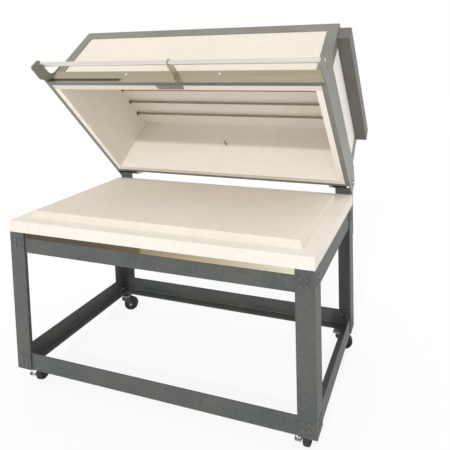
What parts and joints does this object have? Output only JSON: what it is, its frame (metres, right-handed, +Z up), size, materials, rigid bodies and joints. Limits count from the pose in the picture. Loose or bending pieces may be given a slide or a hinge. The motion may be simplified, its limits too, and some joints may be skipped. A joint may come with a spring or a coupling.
{
  "type": "glass fusing kiln",
  "caption": "Clamshell glass fusing kiln: deep fibre board lid held open on side arms over a raised firing bed, on a bolted angle steel stand with casters.",
  "frame": {"origin": "on the firing bed's top face, over the middle of the stand", "axes": "+X along the kiln to the right as seen from the front, +Y to the back where the lid is hinged, +Z up"},
  "size_m": [1.45, 0.9925, 1.619],
  "materials": {
    "fibre_board": "matt",
    "frame_steel": "satin",
    "lid_steel": "satin",
    "stainless": "brushed",
    "bright_steel": "zinc plated",
    "heater_sheath": "oxidised",
    "terminal": "matt",
    "black_plastic": "matt",
    "bronze": "satin",
    "fork_steel": "satin",
    "wheel_rubber": "matt"
  },
  "bodies": {
    "stand": {"base_slab": "fibre_board", "firing_bed": "fibre_board", "bed_tray": "fibre_board", "trim_strip_left": "stainless", "trim_strip_right": "stainless", "frame_bolts": "bright_steel", "hinge_bushes": "bronze", "balance_springs": "bright_steel", "caster_plates": "bright_steel", "leg_front_left": "frame_steel", "leg_front_right": "frame_steel", "top_rail_front": "frame_steel", "bottom_rail_front": "frame_steel", "leg_back_left": "frame_steel", "leg_back_right": "frame_steel", "top_rail_back": "frame_steel", "bottom_rail_back": "frame_steel", "top_rail_left": "frame_steel", "bottom_rail_left": "frame_steel", "hinge_post_left": "frame_steel", "top_rail_right": "frame_steel", "bottom_rail_right": "frame_steel", "hinge_post_right": "frame_steel"},
    "lid": {"lid_front_board": "fibre_board", "lid_back_board": "fibre_board", "lid_roof_board": "fibre_board", "lid_left_board": "fibre_board", "lid_right_board": "fibre_board", "lid_rim_front": "stainless", "lid_rim_back": "lid_steel", "lid_rim_left": "lid_steel", "lid_rim_right": "lid_steel", "lid_top_frame": "lid_steel", "side_arm_left": "lid_steel", "side_arm_right": "lid_steel", "spring_collars": "bright_steel", "rim_plate": "stainless", "handle_bar": "stainless", "lid_bolts": "bright_steel", "handle_bracket": "stainless", "hinge_shaft": "bright_steel", "heating_rods": "heater_sheath", "terminal_blocks": "terminal", "wiring_channel": "lid_steel", "cable_gland": "black_plastic", "temperature_probe": "heater_sheath"},
    "caster_front_left": {"caster_fork_front_left": "fork_steel", "caster_axle_front_left": "bright_steel"},
    "wheel_front_left": {"caster_wheel_front_left": "wheel_rubber"},
    "brake_front_left": {"brake_lever_front_left": "bright_steel"},
    "caster_front_right": {"caster_fork_front_right": "fork_steel", "caster_axle_front_right": "bright_steel"},
    "wheel_front_right": {"caster_wheel_front_right": "wheel_rubber"},
    "brake_front_right": {"brake_lever_front_right": "bright_steel"},
    "caster_back_left": {"caster_fork_back_left": "fork_steel", "caster_axle_back_left": "bright_steel"},
    "wheel_back_left": {"caster_wheel_back_left": "wheel_rubber"},
    "caster_back_right": {"caster_fork_back_right": "fork_steel", "caster_axle_back_right": "bright_steel"},
    "wheel_back_right": {"caster_wheel_back_right": "wheel_rubber"}
  },
  "joints": [
    {"name": "lid_hinge", "type": "hinge", "parent": "stand", "child": "lid", "pos_m": [0, 0.4, 0.0225], "axis": [-1, 0, 0], "range_deg": [-49.5, 15]},
    {"name": "swivel_front_left", "type": "hinge", "parent": "stand", "child": "caster_front_left", "pos_m": [-0.64, -0.305, -0.717], "axis": [0, 0, 1], "continuous": true},
    {"name": "spin_front_left", "type": "hinge", "parent": "caster_front_left", "child": "wheel_front_left", "pos_m": [-0.64417, -0.28136, -0.7655], "axis": [-0.9848, -0.1736, 0], "continuous": true},
    {"name": "brake_front_left_pivot", "type": "hinge", "parent": "caster_front_left", "child": "brake_front_left", "pos_m": [-0.64417, -0.28136, -0.7655], "axis": [-0.9848, -0.1736, 0], "range_deg": [-20, 0]},
    {"name": "swivel_front_right", "type": "hinge", "parent": "stand", "child": "caster_front_right", "pos_m": [0.64, -0.305, -0.717], "axis": [0, 0, 1], "continuous": true},
    {"name": "spin_front_right", "type": "hinge", "parent": "caster_front_right", "child": "wheel_front_right", "pos_m": [0.64, -0.281, -0.7655], "axis": [-1, 0, 0], "continuous": true},
    {"name": "brake_front_right_pivot", "type": "hinge", "parent": "caster_front_right", "child": "brake_front_right", "pos_m": [0.64, -0.281, -0.7655], "axis": [-1, 0, 0], "range_deg": [-20, 0]},
    {"name": "swivel_back_left", "type": "hinge", "parent": "stand", "child": "caster_back_left", "pos_m": [-0.64, 0.305, -0.717], "axis": [0, 0, 1], "continuous": true},
    {"name": "spin_back_left", "type": "hinge", "parent": "caster_back_left", "child": "wheel_back_left", "pos_m": [-0.61825, 0.31514, -0.7655], "axis": [-0.4226, 0.9063, 0], "continuous": true},
    {"name": "swivel_back_right", "type": "hinge", "parent": "stand", "child": "caster_back_right", "pos_m": [0.64, 0.305, -0.717], "axis": [0, 0, 1], "continuous": true},
    {"name": "spin_back_right", "type": "hinge", "parent": "caster_back_right", "child": "wheel_back_right", "pos_m": [0.66318, 0.31121, -0.7655], "axis": [-0.2588, 0.9659, 0], "continuous": true}
  ]
}
